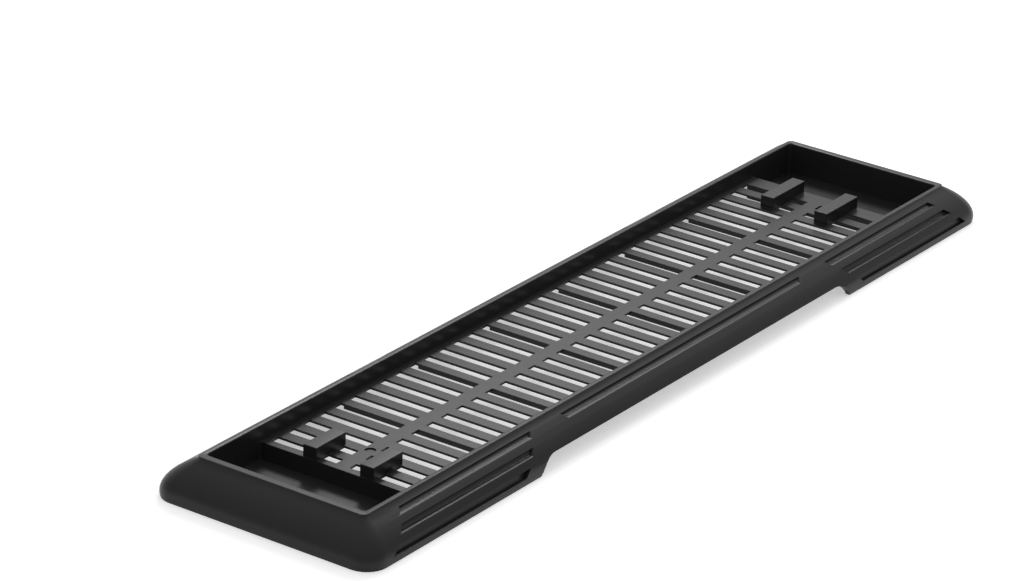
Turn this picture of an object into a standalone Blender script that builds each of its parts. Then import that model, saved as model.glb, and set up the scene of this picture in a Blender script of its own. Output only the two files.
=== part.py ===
# Console stand: one moulded tray with a flared skirt, a slotted floor and four locating blocks.
# Metres, +Z up, origin at the bottom centre, long side along X, grooved sides facing -Y and +Y.
import math

import bmesh
import bpy
from mathutils import Matrix, Vector

# Tray, inside the rim
TRAY_LENGTH = 0.307
TRAY_WIDTH = 0.056
TRAY_CORNER = 0.0012
HEIGHT = 0.01225

# Rim: its wall at the sides and at the ends, its upright lip and its rounded edges
RIM_SIDE_WALL = 0.0018
RIM_END_WALL = 0.0027
RIM_CORNER = 0.0020
RIM_LIP = 0.0006
RIM_EDGE = 0.0003

# Skirt: how far it flares out below the rim, how much its face bulges, its wall, the steps its
# face is made in, and the least gap worth hollowing between it and the tray
SKIRT_FLARE_SIDE = 0.0093
SKIRT_FLARE_END = 0.00875
SKIRT_CORNER = 0.0070
SKIRT_WALL = 0.0017
SKIRT_BULGE_RATIO = 1.4
SKIRT_LEVELS = 9
HOLLOW_LEAST = 0.0010

# End troughs, with the platform between them
TROUGH_LENGTH_NEAR = 0.0241
TROUGH_LENGTH_FAR = 0.0225
TROUGH_FLOOR = 0.0024
TROUGH_DRAFT = 0.0004

# Slotted platform: its plate, the slots with the strips left round them, and the ribs below
PLATFORM_DROP = 0.0048
PLATFORM_PLATE = 0.0007
PLATFORM_END_WALL = 0.0015
SLOT_WIDTH = 0.0032
SLOT_COUNT = 35
SLOT_START = 0.0027
SLOT_END = 0.0070
SLOT_EDGE = 0.0023
SPINE_WIDTH = 0.0048
RIB_EVERY = 5
RIB_SLOT_EXTRA = 0.0004
RIB_DEPTH = 0.0016
RIB_THICKNESS = 0.0013
RIB_END_GAP = 0.0010

# Shallow round gate mark on the spine, past the near blocks
GATE_RADIUS = 0.0017
GATE_DEPTH = 0.0004
GATE_GAP = 0.0013

# Locating blocks that stand on the platform
BLOCK_WIDTH = 0.0048
BLOCK_SPACING = 0.0203
BLOCK_HEIGHT = 0.0039
BLOCK_LENGTH_NEAR = 0.0141
BLOCK_LENGTH_FAR = 0.0192
BLOCK_SETBACK = 0.0002
BLOCK_EDGE = 0.0003
BLOCK_ROOT = 0.0004

# Arch that lifts the middle of each long side off the ground, between two feet whose length
# is taken along the ground from the inside of the rim
FOOT_LENGTH = 0.0695
ARCH_HEIGHT = 0.0049
ARCH_RUN_PER_RISE = 0.5
ARCH_FILLET = 0.0085

# Grooves in the sides of the skirt, spaced down its curved face from the rim; their ends are
# placed from the inside of the rim and from the foot of the arch
GROOVE_ROWS = 3
GROOVE_FIRST = 0.0043
GROOVE_PITCH = 0.0048
GROOVE_WIDTH = 0.0023
GROOVE_DEPTH = 0.0008
GROOVE_OUTER_MARGIN = 0.0090
GROOVE_PAST_FOOT = 0.0026
GROOVE_GAP = 0.0184
GROOVE_RUN_PER_RISE = 1.44

CORNER_STEPS = 10
CUT_MARGIN = 0.002
WALK_STEP = 0.00002
SMOOTH_ANGLE = math.radians(30)

# Worked out from the sizes above
tray_x = TRAY_LENGTH / 2
tray_y = TRAY_WIDTH / 2
rim_x = tray_x + RIM_END_WALL
rim_y = tray_y + RIM_SIDE_WALL
skirt_top = HEIGHT - RIM_LIP
platform_top = HEIGHT - PLATFORM_DROP
plate_bottom = platform_top - PLATFORM_PLATE
rib_bottom = platform_top - RIB_DEPTH
platform_near = -tray_x + TROUGH_LENGTH_NEAR
platform_far = tray_x - TROUGH_LENGTH_FAR
cavity_near = platform_near + PLATFORM_END_WALL
cavity_far = platform_far - PLATFORM_END_WALL
slot_span = platform_far - platform_near - SLOT_START - SLOT_END
slot_pitch = (slot_span - SLOT_WIDTH) / (SLOT_COUNT - 1)
slot_inner = SPINE_WIDTH / 2
slot_outer = tray_y - SLOT_EDGE
arch_x = tray_x - FOOT_LENGTH
groove_inner = arch_x - GROOVE_PAST_FOOT
groove_outer = tray_x - GROOVE_OUTER_MARGIN
middle_groove_x = groove_inner - GROOVE_GAP


def clear_scene():
    for item in list(bpy.data.objects):
        bpy.data.objects.remove(item, do_unlink=True)


def new_collection(name):
    group = bpy.data.collections.new(name)
    bpy.context.scene.collection.children.link(group)
    return group


def link_mesh(name, bm, group):
    """Turn a bmesh into an object of the given collection."""
    bmesh.ops.recalc_face_normals(bm, faces=bm.faces)
    mesh = bpy.data.meshes.new(name)
    bm.to_mesh(mesh)
    bm.free()
    item = bpy.data.objects.new(name, mesh)
    group.objects.link(item)
    return item


def add_box(bm, low, high):
    """Add a box to a bmesh between two corners."""
    low, high = Vector(low), Vector(high)
    place = Matrix.Translation((low + high) / 2) @ Matrix.Diagonal((*(high - low), 1))
    bmesh.ops.create_cube(bm, size=1, matrix=place)


def rounded_outline(half_x, half_y, radius):
    """Points round a rectangle with rounded corners, the same number whatever the size."""
    points = []
    centres = ((1, 1, 0), (-1, 1, 90), (-1, -1, 180), (1, -1, 270))
    for sign_x, sign_y, start in centres:
        for step in range(CORNER_STEPS + 1):
            angle = math.radians(start + 90 * step / CORNER_STEPS)
            x = sign_x * (half_x - radius) + radius * math.cos(angle)
            y = sign_y * (half_y - radius) + radius * math.sin(angle)
            points.append((x, y))
    return points


def loft(name, sections, group, centre_x=0.0):
    """Skin a stack of outlines, each given as (half_x, half_y, corner radius, z)."""
    bm = bmesh.new()
    rings = []
    for half_x, half_y, radius, z in sections:
        outline = rounded_outline(half_x, half_y, radius)
        rings.append([bm.verts.new((centre_x + x, y, z)) for x, y in outline])
    count = len(rings[0])
    for lower, upper in zip(rings, rings[1:]):
        for i in range(count):
            j = (i + 1) % count
            bm.faces.new((lower[i], lower[j], upper[j], upper[i]))
    bm.faces.new(rings[0])
    bm.faces.new(rings[-1])
    return link_mesh(name, bm, group)


def combine(target, tool, operation):
    """Join or cut with an exact boolean, applied at once so the steps stay in order."""
    modifier = target.modifiers.new(operation.lower(), "BOOLEAN")
    modifier.operation = operation
    modifier.solver = "EXACT"
    modifier.object = tool
    apply_modifiers(target)
    tool.hide_render = True
    tool.display_type = "WIRE"


def apply_modifiers(item):
    bpy.context.view_layer.update()
    graph = bpy.context.evaluated_depsgraph_get()
    mesh = bpy.data.meshes.new_from_object(item.evaluated_get(graph))
    item.modifiers.clear()
    item.data = mesh


def plastic():
    """Satin black moulded plastic."""
    material = bpy.data.materials.new("black_plastic")
    material.use_nodes = True
    shader = material.node_tree.nodes["Principled BSDF"]
    shader.inputs["Base Color"].default_value = (0.022, 0.023, 0.025, 1)
    shader.inputs["Roughness"].default_value = 0.5
    shader.inputs["Metallic"].default_value = 0
    return material


def flare_at(z):
    """Share of the skirt's flare reached at a height: it bulges, so most of it lies near the rim."""
    fall = 1 - min(max(z, 0), skirt_top) / skirt_top
    return fall + SKIRT_BULGE_RATIO * fall * (1 - fall)


def skin(z):
    """Distance of the skirt's side face from the middle of the stand at a height."""
    return rim_y + SKIRT_FLARE_SIDE * flare_at(z)


def height_down_skirt(distance):
    """Height reached by going that distance from the rim down the skirt's side face."""
    z = skirt_top
    gone = 0
    while gone < distance:
        gone += math.hypot(WALK_STEP, skin(z - WALK_STEP) - skin(z))
        z -= WALK_STEP
    return z


def skirt_section(z, inset):
    """Outline of the skirt at a height, set in by a wall where one is asked for."""
    share = flare_at(z)
    radius = RIM_CORNER + (SKIRT_CORNER - RIM_CORNER) * share
    return (rim_x + SKIRT_FLARE_END * share - inset, rim_y + SKIRT_FLARE_SIDE * share - inset, radius)


def make_shell(group):
    """Outer form: flared skirt, upright lip, and a rounded rim edge."""
    edge_half = RIM_EDGE * (1 - math.sqrt(0.5))
    levels = [skirt_top * i / SKIRT_LEVELS for i in range(SKIRT_LEVELS + 1)]
    return loft("console_stand", [(*skirt_section(z, 0), z) for z in levels] + [
        (rim_x, rim_y, RIM_CORNER, HEIGHT - RIM_EDGE),
        (rim_x - edge_half, rim_y - edge_half, RIM_CORNER - edge_half, HEIGHT - edge_half),
        (rim_x - RIM_EDGE, rim_y - RIM_EDGE, RIM_CORNER - RIM_EDGE, HEIGHT),
    ], group)


def make_tray_cut(group):
    """Room inside the rim, down to the platform, with the rim's inner edge eased."""
    return loft("tray_cut", (
        (tray_x, tray_y, TRAY_CORNER, platform_top),
        (tray_x, tray_y, TRAY_CORNER, HEIGHT - RIM_EDGE),
        (tray_x + RIM_EDGE, tray_y + RIM_EDGE, TRAY_CORNER + RIM_EDGE, HEIGHT),
        (tray_x + RIM_EDGE, tray_y + RIM_EDGE, TRAY_CORNER + RIM_EDGE, HEIGHT + CUT_MARGIN),
    ), group)


def make_trough_cut(side, length, group):
    """Pocket between the platform's end and the rim, drawn in towards its floor."""
    half_x = length / 2
    return loft("trough_cut", (
        (half_x - TROUGH_DRAFT, tray_y - TROUGH_DRAFT, TRAY_CORNER - TROUGH_DRAFT, TROUGH_FLOOR),
        (half_x, tray_y, TRAY_CORNER, platform_top),
        (half_x, tray_y, TRAY_CORNER, platform_top + CUT_MARGIN),
    ), group, side * (tray_x - half_x))


def make_underside_cut(group):
    """Open space under the stand, from skirt to skirt, round the tray and its ribs."""
    sections = [(*skirt_section(SKIRT_WALL, SKIRT_WALL), -CUT_MARGIN)]
    for i in range(SKIRT_LEVELS):
        z = skirt_top * i / SKIRT_LEVELS
        half_x, half_y, radius = skirt_section(z + SKIRT_WALL, SKIRT_WALL)
        if min(half_x - rim_x, half_y - rim_y) > HOLLOW_LEAST:
            sections.append((half_x, half_y, radius, z))
    space = loft("underside_cut", sections, group)
    tray_core = loft("tray_core", (
        (rim_x, rim_y, RIM_CORNER, plate_bottom),
        (rim_x, rim_y, RIM_CORNER, HEIGHT + CUT_MARGIN),
    ), group)
    combine(space, tray_core, "DIFFERENCE")
    for low_x, high_x in ((-rim_x, cavity_near), (cavity_far, rim_x)):
        half_x = (high_x - low_x) / 2
        trough_core = loft("trough_core", (
            (half_x, rim_y, RIM_CORNER, -CUT_MARGIN * 2),
            (half_x, rim_y, RIM_CORNER, plate_bottom + CUT_MARGIN),
        ), group, low_x + half_x)
        combine(space, trough_core, "DIFFERENCE")
    combine(space, make_ribs(group), "DIFFERENCE")
    return space


def slot_edges():
    """Near and far edge of each slot; every fifth, which has a rib behind it, is a little wider."""
    edges = []
    for i in range(SLOT_COUNT):
        near = platform_near + SLOT_START + i * slot_pitch
        extra = RIB_SLOT_EXTRA if (i + 1) % RIB_EVERY == 0 else 0
        edges.append((near, near + SLOT_WIDTH + extra))
    return edges


def make_ribs(group):
    """A rib behind every fifth slot, stopping short of the slot's end, and one along the spine."""
    bm = bmesh.new()
    reach = slot_outer - RIB_END_GAP
    top = plate_bottom + CUT_MARGIN / 4
    for _, far_edge in slot_edges()[RIB_EVERY - 1::RIB_EVERY]:
        add_box(bm, (far_edge, -reach, rib_bottom), (far_edge + RIB_THICKNESS, reach, top))
    ribs = link_mesh("cross_ribs", bm, group)
    bm = bmesh.new()
    half = RIB_THICKNESS / 2
    add_box(bm, (cavity_near - half, -half, rib_bottom), (cavity_far + half, half, top))
    combine(ribs, link_mesh("spine_rib", bm, group), "UNION")
    return ribs


def make_slot_cut(group):
    """Two rows of slots, one on each side of the spine."""
    bm = bmesh.new()
    low_z = rib_bottom - CUT_MARGIN / 4
    high_z = platform_top + CUT_MARGIN / 4
    for near_edge, far_edge in slot_edges():
        for low_y, high_y in ((-slot_outer, -slot_inner), (slot_inner, slot_outer)):
            add_box(bm, (near_edge, low_y, low_z), (far_edge, high_y, high_z))
    return link_mesh("slot_cut", bm, group)


def make_gate_cut(group):
    """Round dimple left by the moulding gate, in the middle of the spine."""
    bm = bmesh.new()
    height = GATE_DEPTH + CUT_MARGIN
    x = platform_near + BLOCK_SETBACK + BLOCK_LENGTH_NEAR + GATE_GAP
    place = Matrix.Translation((x, 0, platform_top - GATE_DEPTH + height / 2))
    bmesh.ops.create_cone(bm, cap_ends=True, segments=CORNER_STEPS * 3, radius1=GATE_RADIUS,
                          radius2=GATE_RADIUS, depth=height, matrix=place)
    return link_mesh("gate_cut", bm, group)


def fillet_corner(before, corner, after, radius, steps):
    """Points of an arc that rounds one corner of a flat outline."""
    to_before = (before - corner).normalized()
    to_after = (after - corner).normalized()
    half_angle = to_before.angle(to_after) / 2
    centre = corner + (to_before + to_after).normalized() * (radius / math.sin(half_angle))
    start = (corner + to_before * (radius / math.tan(half_angle)) - centre).normalized()
    end = (corner + to_after * (radius / math.tan(half_angle)) - centre).normalized()
    return [centre + radius * start.slerp(end, i / steps) for i in range(steps + 1)]


def make_arch_cut(group):
    """Arch profile drawn in the side view and run right across the stand."""
    run = ARCH_HEIGHT * ARCH_RUN_PER_RISE
    below = CUT_MARGIN * ARCH_RUN_PER_RISE
    foot = Vector((arch_x + below, -CUT_MARGIN))
    shoulder = Vector((arch_x - run, ARCH_HEIGHT))
    right = [foot] + fillet_corner(foot, shoulder, Vector((0, ARCH_HEIGHT)), ARCH_FILLET, CORNER_STEPS)
    outline = right + [Vector((-point.x, point.y)) for point in reversed(right)]
    curve = bpy.data.curves.new("arch_profile", "CURVE")
    curve.dimensions = "2D"
    curve.fill_mode = "BOTH"
    curve.extrude = tray_y + SKIRT_FLARE_SIDE * 2
    spline = curve.splines.new("POLY")
    spline.points.add(len(outline) - 1)
    for point, place in zip(spline.points, outline):
        point.co = (place.x, place.y, 0, 1)
    spline.use_cyclic_u = True
    drawn = bpy.data.objects.new("arch_profile", curve)
    drawn.rotation_euler = (math.radians(90), 0, 0)
    group.objects.link(drawn)
    bpy.context.view_layer.update()
    graph = bpy.context.evaluated_depsgraph_get()
    bm = bmesh.new()
    bm.from_mesh(bpy.data.meshes.new_from_object(drawn.evaluated_get(graph)))
    bmesh.ops.remove_doubles(bm, verts=bm.verts, dist=0.000001)
    bm.transform(drawn.matrix_world)
    bpy.data.objects.remove(drawn, do_unlink=True)
    return link_mesh("arch_cut", bm, group)


def add_groove(bm, side, x_low, x_high, distance, lean_low, lean_high):
    """One groove, its lower edge at a distance down the skirt's face.

    Each end moves out along X by its own lean for each metre that the skirt drops.
    """
    low_z = height_down_skirt(distance)
    high_z = height_down_skirt(distance - GROOVE_WIDTH)
    corners = {}
    for level, z in ((0, low_z), (1, high_z)):
        rise = z - low_z
        for end, x in ((0, x_low - lean_low * rise), (1, x_high - lean_high * rise)):
            corners[end, 0, level] = Vector((x, side * (skin(z) - GROOVE_DEPTH), z))
            corners[end, 1, level] = Vector((x, side * (skin(z) + CUT_MARGIN), z))
    made = bmesh.ops.create_cube(bm, size=2)
    for vert in made["verts"]:
        key = (int(vert.co.x > 0), int(vert.co.y > 0), int(vert.co.z > 0))
        vert.co = corners[key]


def make_groove_cut(group):
    """Three leaned grooves on each foot and one long groove between them, on both sides."""
    bm = bmesh.new()
    first_z = height_down_skirt(GROOVE_FIRST)
    for side in (-1, 1):
        for row in range(GROOVE_ROWS):
            distance = GROOVE_FIRST + row * GROOVE_PITCH
            shift = (first_z - height_down_skirt(distance)) * GROOVE_RUN_PER_RISE
            inner, outer = groove_inner + shift, groove_outer + shift
            add_groove(bm, side, inner, outer, distance, GROOVE_RUN_PER_RISE, GROOVE_RUN_PER_RISE)
            add_groove(bm, side, -outer, -inner, distance, -GROOVE_RUN_PER_RISE, -GROOVE_RUN_PER_RISE)
        add_groove(bm, side, -middle_groove_x, middle_groove_x, GROOVE_FIRST,
                   GROOVE_RUN_PER_RISE, -GROOVE_RUN_PER_RISE)
    return link_mesh("groove_cut", bm, group)


def make_block(low_x, high_x, centre_y, group):
    """One locating block with eased edges, its root let into the platform's plate."""
    bm = bmesh.new()
    half = BLOCK_WIDTH / 2
    low = (low_x, centre_y - half, plate_bottom - BLOCK_ROOT)
    high = (high_x, centre_y + half, platform_top + BLOCK_HEIGHT)
    add_box(bm, low, high)
    block = link_mesh("block", bm, group)
    easing = block.modifiers.new("easing", "BEVEL")
    easing.width = BLOCK_EDGE
    easing.segments = 2
    easing.limit_method = "ANGLE"
    apply_modifiers(block)
    return block


def build():
    clear_scene()
    group = new_collection("console_stand_parts")
    tools = new_collection("cutters")
    stand = make_shell(group)
    combine(stand, make_underside_cut(tools), "DIFFERENCE")
    combine(stand, make_tray_cut(tools), "DIFFERENCE")
    combine(stand, make_trough_cut(-1, TROUGH_LENGTH_NEAR, tools), "DIFFERENCE")
    combine(stand, make_trough_cut(1, TROUGH_LENGTH_FAR, tools), "DIFFERENCE")
    combine(stand, make_slot_cut(tools), "DIFFERENCE")
    combine(stand, make_gate_cut(tools), "DIFFERENCE")
    combine(stand, make_arch_cut(tools), "DIFFERENCE")
    combine(stand, make_groove_cut(tools), "DIFFERENCE")
    near_x = platform_near + BLOCK_SETBACK
    far_x = platform_far - BLOCK_SETBACK
    for centre_y in (-BLOCK_SPACING / 2, BLOCK_SPACING / 2):
        for low_x, high_x in ((near_x, near_x + BLOCK_LENGTH_NEAR), (far_x - BLOCK_LENGTH_FAR, far_x)):
            combine(stand, make_block(low_x, high_x, centre_y, tools), "UNION")
    stand.data.materials.clear()
    stand.data.materials.append(plastic())
    stand.data.shade_smooth()
    stand.data.set_sharp_from_angle(angle=SMOOTH_ANGLE)


build()
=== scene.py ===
import math

import bpy
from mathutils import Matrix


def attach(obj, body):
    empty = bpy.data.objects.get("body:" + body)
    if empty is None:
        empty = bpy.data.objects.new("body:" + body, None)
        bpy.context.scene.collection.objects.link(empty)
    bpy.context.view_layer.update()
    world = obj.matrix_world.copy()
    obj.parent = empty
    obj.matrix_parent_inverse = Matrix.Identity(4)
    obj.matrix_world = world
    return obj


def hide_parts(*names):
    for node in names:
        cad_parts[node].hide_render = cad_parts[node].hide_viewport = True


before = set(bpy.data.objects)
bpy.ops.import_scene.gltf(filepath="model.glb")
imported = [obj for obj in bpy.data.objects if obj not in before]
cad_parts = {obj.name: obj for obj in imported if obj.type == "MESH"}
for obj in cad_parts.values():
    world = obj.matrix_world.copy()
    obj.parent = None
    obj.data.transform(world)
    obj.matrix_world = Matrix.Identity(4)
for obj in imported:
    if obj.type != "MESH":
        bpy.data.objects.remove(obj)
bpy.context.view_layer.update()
print("stage: frame loaded")


def selectNothing():
    if bpy.context.object and bpy.context.object.mode != "OBJECT":
        bpy.ops.object.mode_set(mode="OBJECT")
    bpy.ops.object.select_all(action="DESELECT")


def makeActive(piece):
    selectNothing()
    piece.select_set(True)
    bpy.context.view_layer.objects.active = piece


def nodeMaker(tree):
    def add(kind, place, **values):
        node = tree.nodes.new(kind)
        node.location = place
        for name, value in values.items():
            setattr(node, name, value)
        return node
    return add


# black moulded plastic with a fine spark-eroded skin
plastic = {
    "colour": (0.0145, 0.0147, 0.0154, 1),
    "paleColour": (0.0180, 0.0183, 0.0190, 1),
    "roughness": (0.32, 0.40),
    "specular": 0.27,
    "grainScale": 2600,
    "grainDetail": 2,
    "grainHeight": 0.00002,
    "grainStrength": 0.35,
    "cloudScale": 55,
    "cloudDetail": 4,
}


def makePlastic():
    material = bpy.data.materials.new("satinBlackPlastic")
    material.use_nodes = True
    tree = material.node_tree
    add = nodeMaker(tree)
    link = tree.links.new
    shader = tree.nodes["Principled BSDF"]
    coords = add("ShaderNodeTexCoord", (-1300, 0))
    cloud = add("ShaderNodeTexNoise", (-1000, 250))
    cloud.inputs["Scale"].default_value = plastic["cloudScale"]
    cloud.inputs["Detail"].default_value = plastic["cloudDetail"]
    link(coords.outputs["Object"], cloud.inputs["Vector"])
    tint = add("ShaderNodeMix", (-600, 300), data_type="RGBA")
    tint.inputs["A"].default_value = plastic["colour"]
    tint.inputs["B"].default_value = plastic["paleColour"]
    link(cloud.outputs["Fac"], tint.inputs["Factor"])
    link(tint.outputs["Result"], shader.inputs["Base Color"])
    gloss = add("ShaderNodeMapRange", (-600, 50))
    gloss.inputs["To Min"].default_value = plastic["roughness"][0]
    gloss.inputs["To Max"].default_value = plastic["roughness"][1]
    link(cloud.outputs["Fac"], gloss.inputs["Value"])
    link(gloss.outputs["Result"], shader.inputs["Roughness"])
    grain = add("ShaderNodeTexNoise", (-1000, -250))
    grain.inputs["Scale"].default_value = plastic["grainScale"]
    grain.inputs["Detail"].default_value = plastic["grainDetail"]
    link(coords.outputs["Object"], grain.inputs["Vector"])
    fine = add("ShaderNodeBump", (-600, -250))
    fine.inputs["Strength"].default_value = plastic["grainStrength"]
    fine.inputs["Distance"].default_value = plastic["grainHeight"]
    link(grain.outputs["Fac"], fine.inputs["Height"])
    link(fine.outputs["Normal"], shader.inputs["Normal"])
    shader.inputs["Specular IOR Level"].default_value = plastic["specular"]
    return material


# the whole stand is one moulding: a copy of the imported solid, with its crisp edges eased
stand = {
    "node": "console_stand",
    "mergeDistance": 0.000002,
    "floorHeight": 0.00745,
    "rimOutside": (0.1562, 0.0298),
    "lipRoot": 0.01165,
    "crispAngle": 28,
    "hardAngle": 50,
    "easings": (
        {"part": "floor", "width": 0.00012, "steps": 3, "shortest": 0.0006},
        {"part": "ledge", "width": 0.00022, "steps": 4, "shortest": 0.004},
    ),
    "ledgeHeights": (0.00947, 0.00641, 0.00221),
    "grooveDepth": (0.0007, 0.0008),
    "grooveDeeper": 0.0006,
    "near": 0.00003,
}


def onFloorEdge(a, b):
    return all(abs(point.z - stand["floorHeight"]) < stand["near"] for point in (a, b))


# the outer edge of a groove's lower face runs level, and lies outside the groove's back
def onLedge(a, b):
    level = any(abs(a.z - height) + abs(b.z - height) < stand["near"]
                for height in stand["ledgeHeights"])
    return level and abs(a.y - b.y) < stand["near"] and outsideRim(a)


def outsideRim(point):
    x, y = stand["rimOutside"]
    return abs(point.x) > x + stand["near"] or abs(point.y) > y + stand["near"]


def onOuterSkin(a, b):
    return max(a.z, b.z) < stand["floorHeight"] or outsideRim(a)


def pickEdges(piece, sharpness, wanted, shortest=0):
    makeActive(piece)
    bpy.ops.object.mode_set(mode="EDIT")
    bpy.ops.mesh.select_mode(type="EDGE")
    bpy.ops.mesh.select_all(action="DESELECT")
    bpy.ops.mesh.edges_select_sharp(sharpness=math.radians(sharpness))
    bpy.ops.object.mode_set(mode="OBJECT")
    mesh = piece.data
    mesh.polygons.foreach_set("select", [False] * len(mesh.polygons))
    mesh.vertices.foreach_set("select", [False] * len(mesh.vertices))
    for edge in mesh.edges:
        if edge.select:
            ends = [mesh.vertices[index] for index in edge.vertices]
            a, b = [point.co for point in ends]
            edge.select = (a - b).length > shortest and wanted(a, b)
            if edge.select:
                for point in ends:
                    point.select = True
    bpy.ops.object.mode_set(mode="EDIT")


def easeEdges(piece, easing):
    wanted = {"floor": onFloorEdge, "ledge": onLedge}[easing["part"]]
    pickEdges(piece, stand["crispAngle"], wanted, easing["shortest"])
    bpy.ops.mesh.bevel(offset=easing["width"], segments=easing["steps"],
                       affect="EDGES", clamp_overlap=False)
    bpy.ops.object.vertex_group_assign()
    bpy.ops.object.mode_set(mode="OBJECT")


# a groove's back corners lie one groove depth inside the skirt's widest point at their height
def grooveBacks(piece):
    widest = {}
    for point in piece.data.vertices:
        level = round(point.co.z, 5)
        widest[level] = max(widest.get(level, 0), abs(point.co.y))
    least, most = stand["grooveDepth"]
    straight = stand["rimOutside"][0]
    return [point for point in piece.data.vertices if outsideRim(point.co) and abs(point.co.x) < straight
            and least < widest[round(point.co.z, 5)] - abs(point.co.y) < most]


# shallow grooves look too pale in soft light, so their backs go in a little
def deepenGrooves(piece):
    backs = grooveBacks(piece)
    for point in backs:
        point.co.y -= math.copysign(stand["grooveDeeper"], point.co.y)
    print("stage: grooves deepened,", len(backs), "points")


def makeStand(material):
    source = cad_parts[stand["node"]]
    piece = source.copy()
    piece.data = source.data.copy()
    for key in list(piece.keys()):
        del piece[key]
    piece.parent = None
    piece.name = "mouldedStand"
    bpy.context.scene.collection.objects.link(piece)
    makeActive(piece)
    bpy.ops.object.mode_set(mode="EDIT")
    bpy.ops.mesh.select_all(action="SELECT")
    bpy.ops.mesh.remove_doubles(threshold=stand["mergeDistance"])
    bpy.ops.object.mode_set(mode="OBJECT")
    deepenGrooves(piece)
    flats = piece.vertex_groups.new(name="flats")
    for easing in stand["easings"]:
        easeEdges(piece, easing)
        print("stage: eased", easing["part"], len(piece.data.polygons), "faces")
    # roundings shade smoothly, all other folds past the crisp angle stay sharp
    bpy.ops.object.shade_smooth_by_angle(angle=math.radians(stand["hardAngle"]))
    pickEdges(piece, stand["crispAngle"], onOuterSkin)
    bpy.ops.mesh.mark_sharp()
    bpy.ops.object.mode_set(mode="OBJECT")
    # flat faces keep flat shading beside their roundings; the curved skirt keeps its own
    inside = [point.index for point in piece.data.vertices
              if point.co.z > stand["lipRoot"] or not outsideRim(point.co)]
    flats.add(inside, 1, "REPLACE")
    flatten = piece.modifiers.new("flatShading", "WEIGHTED_NORMAL")
    flatten.mode = "FACE_AREA"
    flatten.keep_sharp = True
    flatten.vertex_group = flats.name
    bpy.ops.object.modifier_apply(modifier=flatten.name)
    piece.data.materials.clear()
    piece.data.materials.append(material)
    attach(piece, "root")
    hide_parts(stand["node"])
    return piece


plasticMaterial = makePlastic()
standPiece = makeStand(plasticMaterial)
print("stage: stand", len(standPiece.data.polygons), "faces")

# pale floor, white to the camera and softly shadowed
floor = {"size": 12, "colour": (0.8, 0.8, 0.8, 1), "glow": 0.47}


def makeFloor():
    selectNothing()
    bpy.ops.mesh.primitive_plane_add(size=floor["size"], location=(0, 0, 0))
    piece = bpy.context.object
    piece.name = "floor"
    material = bpy.data.materials.new("paleFloor")
    material.use_nodes = True
    tree = material.node_tree
    add = nodeMaker(tree)
    link = tree.links.new
    tree.nodes.remove(tree.nodes["Principled BSDF"])
    output = tree.nodes["Material Output"]
    matt = add("ShaderNodeBsdfDiffuse", (-400, 100))
    matt.inputs["Color"].default_value = floor["colour"]
    rays = add("ShaderNodeLightPath", (-1000, -100))
    glow = add("ShaderNodeEmission", (-400, -100))
    mirrored = add("ShaderNodeMath", (-900, -200), operation="MAXIMUM")
    link(rays.outputs["Is Glossy Ray"], mirrored.inputs[0])
    link(rays.outputs["Is Transmission Ray"], mirrored.inputs[1])
    seen = add("ShaderNodeMath", (-750, -100), operation="MAXIMUM")
    link(rays.outputs["Is Camera Ray"], seen.inputs[0])
    link(mirrored.outputs["Value"], seen.inputs[1])
    strength = add("ShaderNodeMath", (-600, -100), operation="MULTIPLY")
    strength.inputs[1].default_value = floor["glow"]
    link(seen.outputs["Value"], strength.inputs[0])
    link(strength.outputs["Value"], glow.inputs["Strength"])
    both = add("ShaderNodeAddShader", (-200, 0))
    link(matt.outputs["BSDF"], both.inputs[0])
    link(glow.outputs["Emission"], both.inputs[1])
    link(both.outputs["Shader"], output.inputs["Surface"])
    piece.data.materials.append(material)


# soft studio light: a bright wall of light behind the stand, dim on the camera's side
studio = {
    "brightSide": (0.82, 0.57, 0),
    "turnFade": (0.30, 0.75),
    "dim": 0.54,
    "bright": 1.0,
    "highBand": (0.30, 0.90),
    "highGain": (0.82, 1.2),
}


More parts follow.
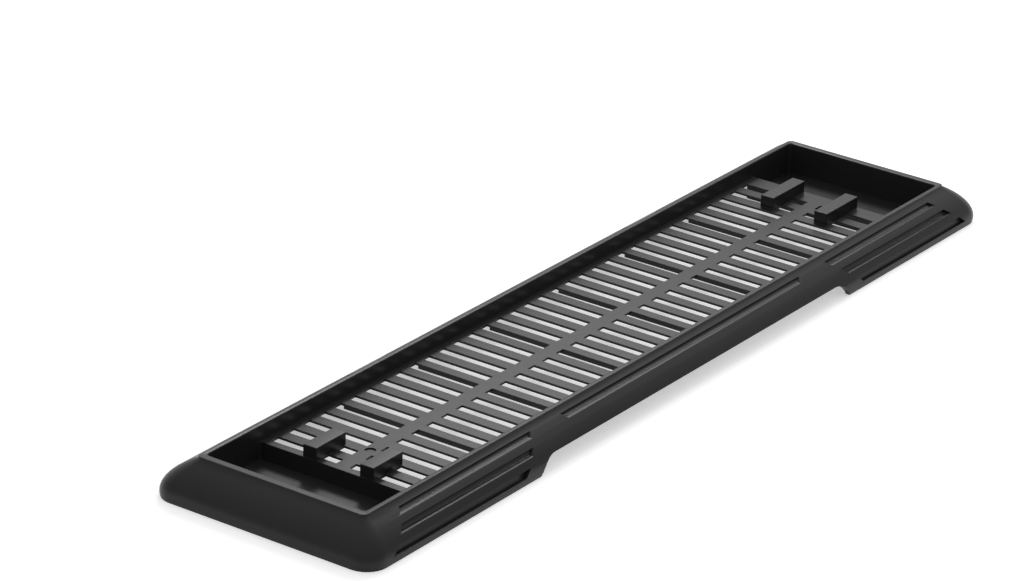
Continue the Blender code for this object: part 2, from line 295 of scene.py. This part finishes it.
def makeWorld():
    world = bpy.data.worlds.new("studio")
    bpy.context.scene.world = world
    world.use_nodes = True
    tree = world.node_tree
    add = nodeMaker(tree)
    link = tree.links.new
    background = tree.nodes["Background"]
    coords = add("ShaderNodeTexCoord", (-1400, 0))
    towards = add("ShaderNodeVectorMath", (-1200, 150), operation="DOT_PRODUCT")
    towards.inputs[1].default_value = studio["brightSide"]
    link(coords.outputs["Generated"], towards.inputs[0])
    around = add("ShaderNodeMapRange", (-1000, 150), interpolation_type="SMOOTHSTEP")
    around.inputs["From Min"].default_value = studio["turnFade"][0]
    around.inputs["From Max"].default_value = studio["turnFade"][1]
    around.inputs["To Min"].default_value = studio["dim"]
    around.inputs["To Max"].default_value = studio["bright"]
    link(towards.outputs["Value"], around.inputs["Value"])
    axes = add("ShaderNodeSeparateXYZ", (-1200, -100))
    link(coords.outputs["Generated"], axes.inputs["Vector"])
    upward = add("ShaderNodeMapRange", (-1000, -100), interpolation_type="SMOOTHSTEP")
    upward.inputs["From Min"].default_value = studio["highBand"][0]
    upward.inputs["From Max"].default_value = studio["highBand"][1]
    upward.inputs["To Min"].default_value = studio["highGain"][0]
    upward.inputs["To Max"].default_value = studio["highGain"][1]
    link(axes.outputs["Z"], upward.inputs["Value"])
    lit = add("ShaderNodeMath", (-700, 50), operation="MULTIPLY")
    link(around.outputs["Result"], lit.inputs[0])
    link(upward.outputs["Result"], lit.inputs[1])
    link(lit.outputs["Value"], background.inputs["Strength"])
    background.inputs["Color"].default_value = (1, 1, 1, 1)


# two small soft lamps behind the stand draw the thin bright lines on the rim and the ledges
lamps = {
    "back": {"place": (0.80, 0.54, 0.87), "size": 0.30, "power": 3.6},
    "side": {"place": (0.99, 0.14, 0.84), "size": 0.18, "power": 2.4},
}


def makeLamps():
    for name, lamp in lamps.items():
        selectNothing()
        bpy.ops.object.light_add(type="AREA", location=lamp["place"])
        item = bpy.context.object
        item.name = name + "Lamp"
        item.data.shape = "DISK"
        item.data.size = lamp["size"]
        item.data.energy = lamp["power"]
        aim = -item.location
        item.rotation_euler = aim.to_track_quat("-Z", "Y").to_euler()


camera = {
    "place": (-1.08104, -0.71469, 0.58775),
    "turn": (66.2374, -2.0138, -54.4943),
    "lens": 164.24,
    "sensor": 36,
    "nearest": 0.05,
}


def makeCamera():
    selectNothing()
    bpy.ops.object.camera_add(location=camera["place"])
    item = bpy.context.object
    item.rotation_euler = [math.radians(angle) for angle in camera["turn"]]
    item.data.lens = camera["lens"]
    item.data.sensor_width = camera["sensor"]
    item.data.clip_start = camera["nearest"]
    bpy.context.scene.camera = item


makeFloor()
makeWorld()
makeLamps()
makeCamera()
bpy.context.scene.view_settings.view_transform = "Standard"
print("stage: studio and camera")
